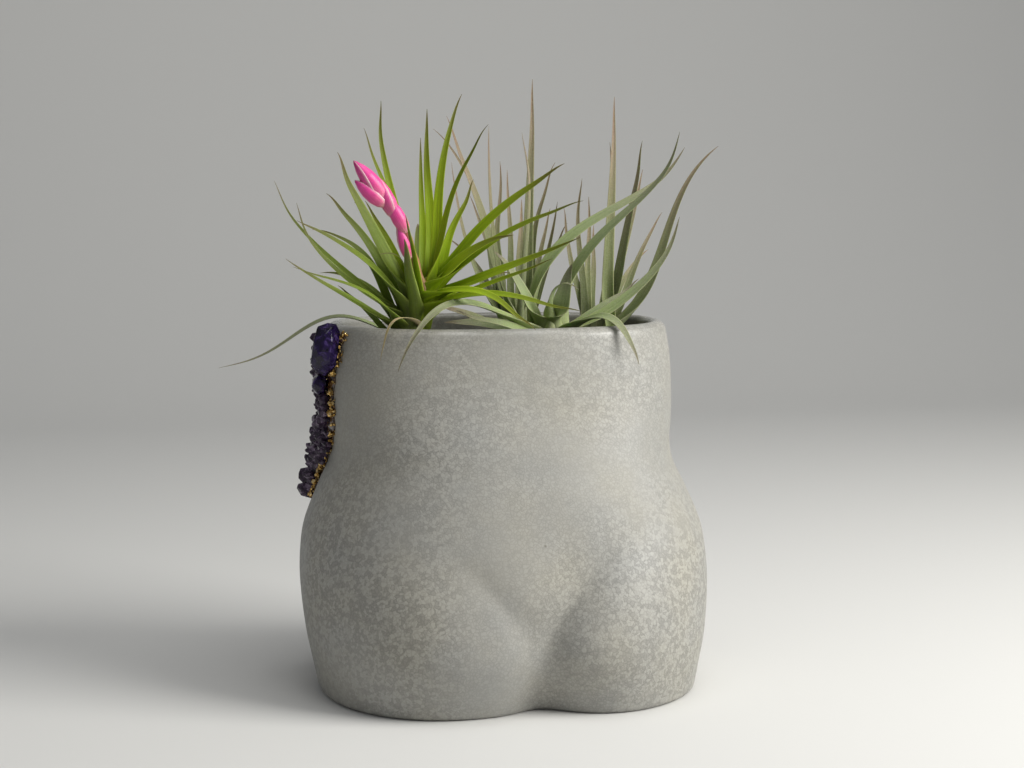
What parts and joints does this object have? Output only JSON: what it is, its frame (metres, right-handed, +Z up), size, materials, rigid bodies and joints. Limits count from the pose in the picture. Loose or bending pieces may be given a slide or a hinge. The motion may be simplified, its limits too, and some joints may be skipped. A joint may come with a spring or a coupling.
{
  "type": "figural planter",
  "caption": "Hip-shaped speckled ceramic planter with a side trim of amethyst and gold grains, planted with lift-out air plants, one in pink bloom.",
  "frame": {"origin": "middle of the flat foot, on the surface it stands on", "axes": "+Z up, the front of the hips faces -Y, +X to the right seen from the front"},
  "size_m": [0.2273, 0.1494, 0.2639],
  "materials": {
    "speckled_ceramic": "semi-matte speckled glaze",
    "dark_resin": "cast, glossy",
    "amethyst": "natural facets, glossy",
    "quartz": "natural facets, translucent",
    "gold": "bright, rough-broken",
    "gravel": "loose, dull",
    "grey_leaf": "living leaf, fine silvery hairs",
    "silver_leaf": "living leaf, silvery scales",
    "green_leaf": "living leaf, satin",
    "olive_leaf": "living leaf, satin",
    "dry_leaf": "dried leaf, dull",
    "stalk": "living stalk, satin",
    "bract": "living bract, waxy"
  },
  "bodies": {
    "pot": {"pot_shell": "speckled_ceramic", "resin_bed": "dark_resin", "amethyst_large": "amethyst", "amethyst_round": "amethyst", "amethyst_points": "quartz", "gold_grains": "gold", "gravel_fill": "gravel"},
    "grey_plants": {"grey_crowns": "grey_leaf", "grey_left_leaves": "grey_leaf", "grey_right_leaves": "grey_leaf", "grey_trailing_leaf": "silver_leaf"},
    "silver_plant": {"silver_crown": "silver_leaf", "silver_broad_leaves": "silver_leaf", "silver_arching_leaves": "silver_leaf"},
    "green_plant": {"green_crown": "olive_leaf", "green_upright_leaves": "green_leaf", "green_right_leaves": "green_leaf", "green_left_leaves": "olive_leaf", "green_back_leaves": "olive_leaf", "green_dry_leaf": "dry_leaf", "flower_stalk": "stalk", "flower_bracts": "bract"}
  },
  "joints": [
    {"name": "grey_lift", "type": "slide", "parent": "pot", "child": "grey_plants", "axis": [0, 0, 1], "range_m": [0, 0.08]},
    {"name": "silver_lift", "type": "slide", "parent": "grey_plants", "child": "silver_plant", "axis": [0, 0, 1], "range_m": [0, 0.08]},
    {"name": "green_lift", "type": "slide", "parent": "silver_plant", "child": "green_plant", "axis": [0, 0, 1], "range_m": [0, 0.08]}
  ]
}
